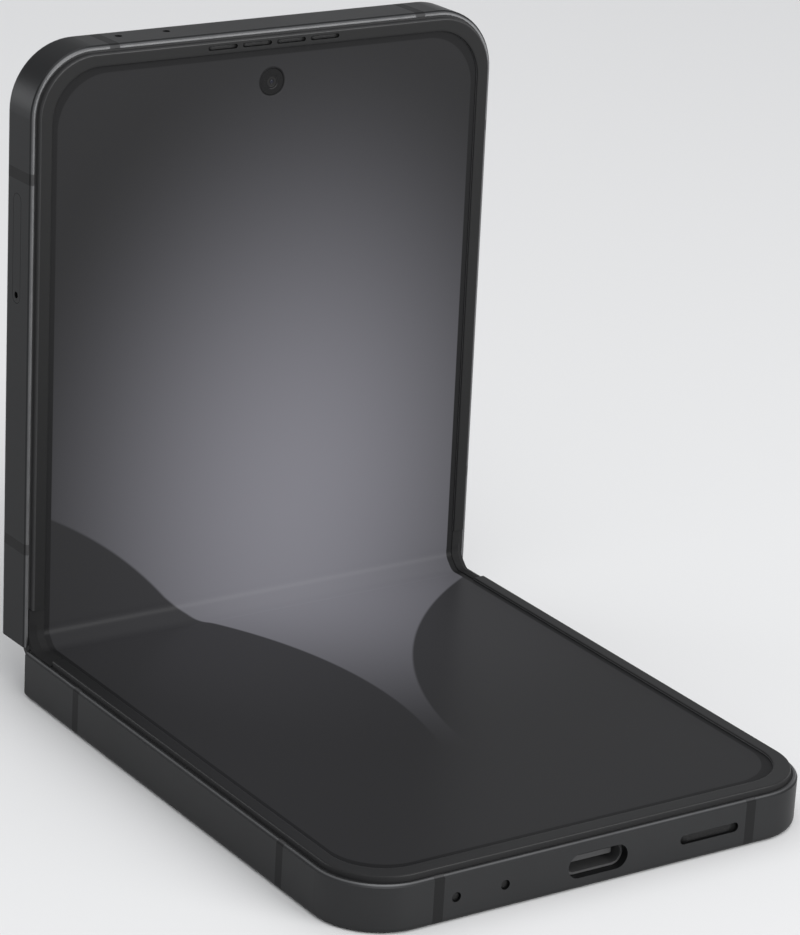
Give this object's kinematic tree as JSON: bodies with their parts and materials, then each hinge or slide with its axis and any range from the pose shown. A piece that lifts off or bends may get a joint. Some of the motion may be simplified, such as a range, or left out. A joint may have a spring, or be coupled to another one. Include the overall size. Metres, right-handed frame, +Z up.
{
  "type": "foldable smartphone",
  "caption": "Clamshell phone whose flexible screen folds on a two-axis geared hinge between two flat metal halves, shown open at a right angle.",
  "frame": {"origin": "centre of the lower half's resting face, on its back glass", "axes": "+Z up, away from the face it rests on; +X along the hinge, towards the keys; -Y towards the charging port"},
  "size_m": [0.0723, 0.0913, 0.089],
  "materials": {
    "black_plastic": "satin",
    "circuit_board": "satin",
    "dark_glass": "gloss",
    "flash_lens": "gloss",
    "gold_metal": "satin",
    "graphite_metal": "matt anodised",
    "lens_glass": "gloss",
    "screen": "gloss",
    "steel": "satin"
  },
  "bodies": {
    "lower_half": {"lower_frame": "graphite_metal", "lower_back_glass": "dark_glass", "lower_bezel": "black_plastic", "lower_display_panel": "screen", "lower_antenna_bands": "black_plastic", "lower_battery": "black_plastic", "lower_microphones": "steel", "lower_magnets": "steel", "lower_flex_cable": "gold_metal", "lower_wing_plate": "steel", "lower_rotators": "steel", "lower_hinge_screws": "black_plastic", "sub_board": "circuit_board", "usb_port": "steel", "loudspeaker": "black_plastic", "loudspeaker_mesh": "steel", "vibration_motor": "steel", "charging_coil": "gold_metal"},
    "hinge_spine": {"spine_cover": "graphite_metal", "spine_end_caps": "black_plastic", "hinge_brackets": "steel", "gear_shafts": "steel", "disc_springs": "steel", "fold_support": "steel", "fold_guards": "black_plastic", "display_fold": "screen", "hinge_flex_cable": "gold_metal"},
    "upper_half": {"upper_frame": "graphite_metal", "cover_glass": "dark_glass", "upper_bezel": "black_plastic", "upper_display_panel": "screen", "upper_antenna_bands": "black_plastic", "upper_battery": "black_plastic", "upper_magnets": "steel", "upper_flex_cable": "gold_metal", "main_board": "circuit_board", "board_shields": "steel", "cover_display": "screen", "rear_camera_modules": "black_plastic", "camera_rings": "graphite_metal", "camera_lenses": "lens_glass", "flash_window": "flash_lens", "front_camera": "black_plastic", "earpiece_speaker": "black_plastic", "earpiece_mesh": "steel", "upper_microphones": "steel", "upper_wing_plate": "steel", "upper_rotators": "steel", "upper_hinge_screws": "black_plastic", "sim_reader": "steel", "key_switches": "steel"},
    "lower_arm_gear": {"lower_sync_arms": "gold_metal"},
    "lower_idler_gear": {"lower_idler_gears": "gold_metal"},
    "upper_idler_gear": {"upper_idler_gears": "gold_metal"},
    "upper_arm_gear": {"upper_sync_arms": "gold_metal"},
    "tray": {"sim_tray": "graphite_metal"},
    "volume_button": {"volume_key": "graphite_metal"},
    "power_button": {"power_key": "graphite_metal"}
  },
  "joints": [
    {"name": "lower_fold", "type": "hinge", "parent": "lower_half", "child": "hinge_spine", "pos_m": [0, 0.03987, 0.00579], "axis": [1, 0, 0], "range_deg": [-44.5, 45.5]},
    {"name": "upper_fold", "type": "hinge", "parent": "hinge_spine", "child": "upper_half", "pos_m": [0, 0.04223, 0.00812], "axis": [1, 0, 0], "range_deg": [-44.5, 45.5], "deforming": ["display_fold", "hinge_flex_cable"]},
    {"name": "lower_arm_turn", "type": "hinge", "parent": "hinge_spine", "child": "lower_arm_gear", "pos_m": [0, 0.03985, 0.00389], "axis": [1, 0, 0], "range_deg": [-45.5, 44.5]},
    {"name": "lower_idler_turn", "type": "hinge", "parent": "hinge_spine", "child": "lower_idler_gear", "pos_m": [0, 0.04128, 0.00529], "axis": [1, 0, 0], "range_deg": [-44.5, 45.5]},
    {"name": "upper_idler_turn", "type": "hinge", "parent": "hinge_spine", "child": "upper_idler_gear", "pos_m": [0, 0.04271, 0.0067], "axis": [1, 0, 0], "range_deg": [-45.5, 44.5]},
    {"name": "upper_arm_turn", "type": "hinge", "parent": "hinge_spine", "child": "upper_arm_gear", "pos_m": [0, 0.04413, 0.0081], "axis": [1, 0, 0], "range_deg": [-44.5, 45.5]},
    {"name": "sim_tray_slide", "type": "slide", "parent": "upper_half", "child": "tray", "axis": [-1, 0, 0], "range_m": [0, 0.014]},
    {"name": "volume_key_press", "type": "slide", "parent": "upper_half", "child": "volume_button", "axis": [-1, 0, 0], "range_m": [0, 0.00025], "stiffness_N_per_m": 2000, "springref_m": -0.0001},
    {"name": "power_key_press", "type": "slide", "parent": "upper_half", "child": "power_button", "axis": [-1, 0, 0], "range_m": [0, 0.00025], "stiffness_N_per_m": 2000, "springref_m": -0.0001}
  ],
  "couplings": [
    {"joint": "upper_fold", "follows": "lower_fold", "ratio": 1},
    {"joint": "lower_arm_turn", "follows": "lower_fold", "ratio": -1},
    {"joint": "lower_idler_turn", "follows": "lower_fold", "ratio": 1},
    {"joint": "upper_idler_turn", "follows": "lower_fold", "ratio": -1},
    {"joint": "upper_arm_turn", "follows": "lower_fold", "ratio": 1}
  ]
}
